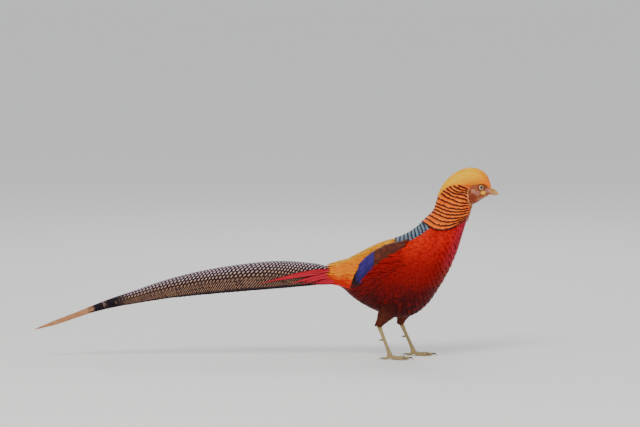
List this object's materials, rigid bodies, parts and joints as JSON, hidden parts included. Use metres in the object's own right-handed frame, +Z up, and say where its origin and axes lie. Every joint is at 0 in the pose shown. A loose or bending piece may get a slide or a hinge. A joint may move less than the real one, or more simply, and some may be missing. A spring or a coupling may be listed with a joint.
{
  "type": "golden pheasant",
  "caption": "Still life-size model of a golden pheasant cock standing with its long tail level: gold crest, barred orange cape, scarlet body, netted brown tail.",
  "frame": {"origin": "on the floor under the middle of the bird's length, midway between its sides", "axes": "+X along the bird towards the bill, +Y to the bird's left, +Z up"},
  "size_m": [1.0002, 0.1224, 0.4105],
  "materials": {
    "crest_gold": "silky golden feathers",
    "face_tan": "short soft rusty face feathers",
    "eye_cream": "wet, cream iris with a black pupil",
    "bill_horn": "smooth yellow horn",
    "cape_orange": "orange feathers with dark blue bars",
    "breast_scarlet": "scarlet feathers, steel blue scales on the upper back",
    "rump_gold": "long loose golden feathers",
    "coverts_scarlet": "spear-shaped scarlet feathers",
    "tail_brown": "dark brown feathers with a buff net of spots",
    "wing_blue_brown": "maroon, violet blue and dark brown feathers",
    "thigh_chestnut": "short chestnut feathers",
    "leg_horn": "scaled horn yellow skin with dark claws"
  },
  "bodies": {
    "root": {"crest": "crest_gold", "head": "face_tan", "eye_right": "eye_cream", "eye_left": "eye_cream", "bill_upper": "bill_horn", "bill_lower": "bill_horn", "neck": "cape_orange", "torso": "breast_scarlet", "rump": "rump_gold", "tail_coverts": "coverts_scarlet", "tail": "tail_brown", "wing_right": "wing_blue_brown", "wing_left": "wing_blue_brown", "thigh_right": "thigh_chestnut", "thigh_left": "thigh_chestnut", "shank_right": "leg_horn", "shank_left": "leg_horn", "foot_right": "leg_horn", "foot_left": "leg_horn"}
  },
  "joints": []
}
